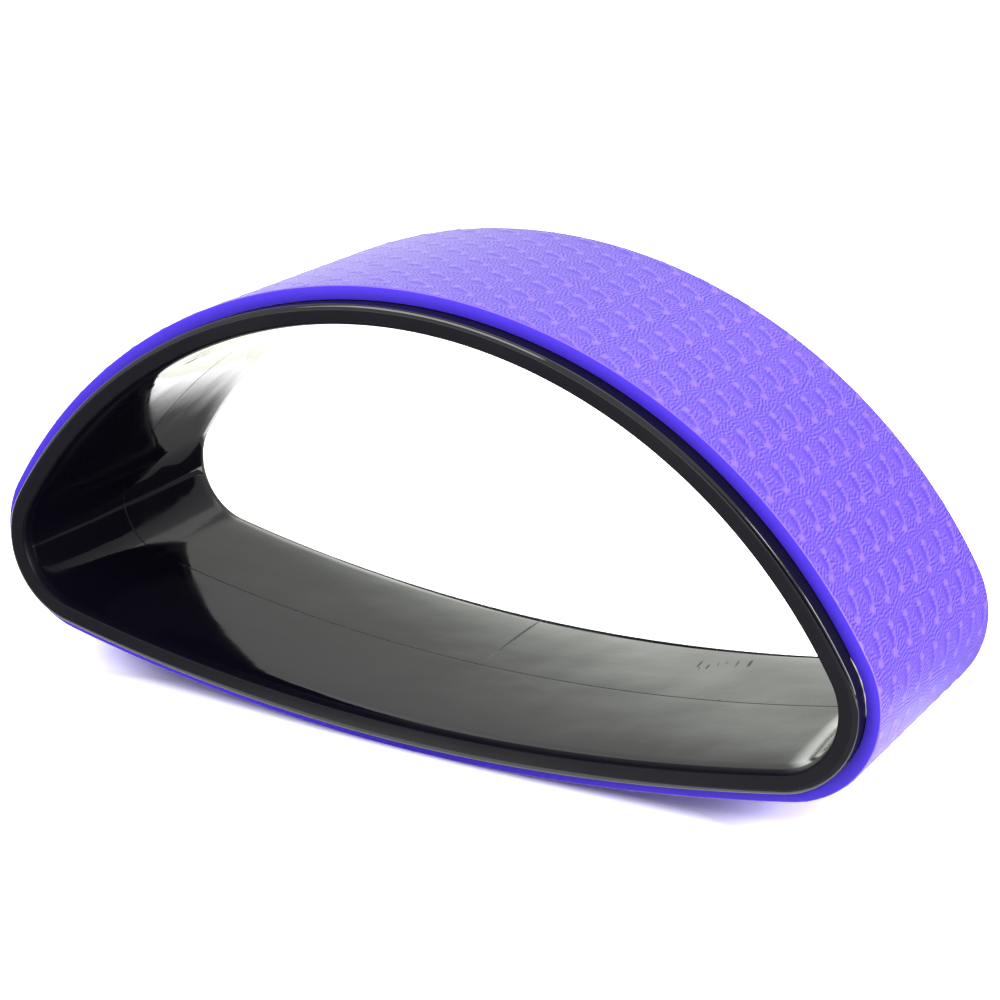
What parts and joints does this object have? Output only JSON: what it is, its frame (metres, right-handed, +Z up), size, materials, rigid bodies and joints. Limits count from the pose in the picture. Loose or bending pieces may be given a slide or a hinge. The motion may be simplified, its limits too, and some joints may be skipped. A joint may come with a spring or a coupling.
{
  "type": "half-moon yoga wheel",
  "caption": "Half-moon yoga wheel: a rigid D-shaped ring with a gently curved rocker underside, open right through, wrapped in a textured foam grip strip.",
  "frame": {"origin": "middle of the length and width, on the lowest line of the curved underside", "axes": "+X along the length, +Y across the width from the front rim to the rear rim, +Z up to the crown"},
  "size_m": [0.394, 0.13, 0.188],
  "materials": {
    "shell_abs": "glossy black moulded ABS",
    "pad_foam": "violet TPE foam with an embossed anti-slip pattern",
    "contact_adhesive": "dried contact adhesive",
    "seam_cement": "dried solvent cement"
  },
  "bodies": {
    "root": {"front_shell": "shell_abs", "rear_shell": "shell_abs", "foam_pad": "pad_foam", "pad_adhesive": "contact_adhesive", "outer_seam_cement": "seam_cement", "inner_seam_cement": "seam_cement"}
  },
  "joints": []
}
